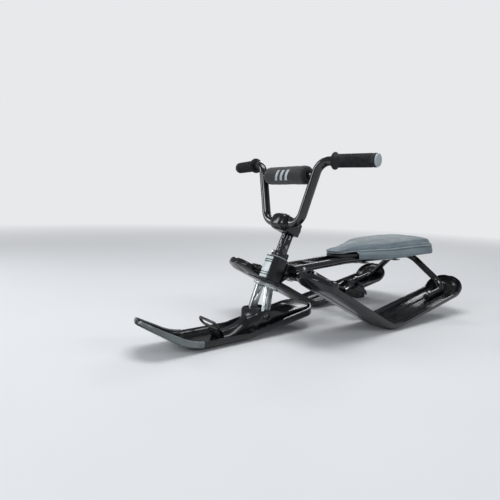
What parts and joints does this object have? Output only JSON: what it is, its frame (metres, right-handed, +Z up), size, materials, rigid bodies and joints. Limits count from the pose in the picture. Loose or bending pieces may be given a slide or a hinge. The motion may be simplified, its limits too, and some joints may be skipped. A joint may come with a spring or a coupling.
{
  "type": "steering sled",
  "caption": "Snow sled with a steered front ski, two rear skis, bent tube frame, padded seat, height-adjustable handlebar and foot brake.",
  "frame": {"origin": "on the ground, below the middle of the sled's box: half way between the front ski's nose and the rear skis' ends", "axes": "-Y forward to the front ski's nose, +X to the rider's left, +Z up; the ground is Z = 0"},
  "size_m": [0.5622, 1.1008, 0.4905],
  "materials": {
    "painted_black": "gloss black paint",
    "plated_steel": "bright plated",
    "black_plastic": "satin black",
    "pale_plastic": "pale grey",
    "black_rubber": "matt",
    "charcoal_vinyl": "grained vinyl",
    "black_foam": "cloth over foam"
  },
  "bodies": {
    "frame": {"frame_tube_left": "painted_black", "frame_tube_right": "painted_black", "foot_bolt_left": "plated_steel", "foot_bolt_right": "plated_steel", "front_cross_tube": "painted_black", "neck_block": "painted_black", "neck_rivet": "plated_steel", "neck_strap": "plated_steel", "rear_ski_left": "black_plastic", "rear_ski_right": "black_plastic", "saddle_left": "black_plastic", "saddle_right": "black_plastic", "saddle_bolt_front_left": "plated_steel", "saddle_bolt_front_right": "plated_steel", "saddle_bolt_rear_left": "plated_steel", "saddle_bolt_rear_right": "plated_steel", "head_tube": "painted_black", "lower_bush": "pale_plastic", "upper_bush": "pale_plastic", "head_cover": "black_plastic", "label_plate": "pale_plastic", "head_visor": "black_plastic", "seat_pan": "black_plastic", "seat_cushion": "charcoal_vinyl", "seat_strap_front": "plated_steel", "seat_strap_rear": "plated_steel", "seat_bolt_front": "plated_steel", "seat_bolt_rear": "plated_steel", "brake_hanger": "painted_black", "brake_rivet": "plated_steel", "brake_spring": "plated_steel"},
    "steering": {"steerer": "plated_steel", "height_collar": "black_plastic", "fork_crown": "plated_steel", "fork_leg_left": "plated_steel", "fork_leg_right": "plated_steel", "ski_pivot_bolt": "plated_steel", "ski_pivot_nut": "plated_steel"},
    "pin": {"height_pin": "plated_steel"},
    "bar": {"bar_post": "painted_black", "clamp_body": "black_plastic", "clamp_cap": "black_plastic", "clamp_bolt_lower": "plated_steel", "clamp_bolt_upper": "plated_steel", "clamp_knob": "pale_plastic", "handlebar": "painted_black", "bar_pad": "black_foam", "grip_left": "black_rubber", "grip_right": "black_rubber", "end_plug_left": "pale_plastic", "end_plug_right": "pale_plastic"},
    "front_ski": {"front_ski": "black_plastic", "ski_tower": "black_plastic", "pivot_bush": "pale_plastic", "tow_handle": "black_plastic", "handle_plug": "black_plastic"},
    "brake": {"brake_frame": "painted_black", "brake_claw": "plated_steel", "brake_pedal_left": "black_rubber", "brake_pedal_right": "black_rubber"}
  },
  "joints": [
    {"name": "steering_turn", "type": "hinge", "parent": "frame", "child": "steering", "pos_m": [0, -0.155, 0.13], "axis": [0, 0.4226, 0.9063], "range_deg": [-20, 20]},
    {"name": "bar_height", "type": "slide", "parent": "steering", "child": "bar", "axis": [0, 0.4226, 0.9063], "range_m": [-0.054, 0.027]},
    {"name": "height_pin_pull", "type": "slide", "parent": "steering", "child": "pin", "axis": [0, -0.9063, 0.4226], "range_m": [0, 0.006], "stiffness_N_per_m": 600, "springref_m": -0.004},
    {"name": "front_ski_rock", "type": "hinge", "parent": "steering", "child": "front_ski", "pos_m": [0, -0.19325, 0.04798], "axis": [1, 0, 0], "range_deg": [-12, 3]},
    {"name": "brake_press", "type": "hinge", "parent": "frame", "child": "brake", "pos_m": [0, -0.0004, 0.14817], "axis": [-1, 0, 0], "range_deg": [0, 24], "stiffness_Nm_per_rad": 3, "springref_deg": -22.92}
  ]
}
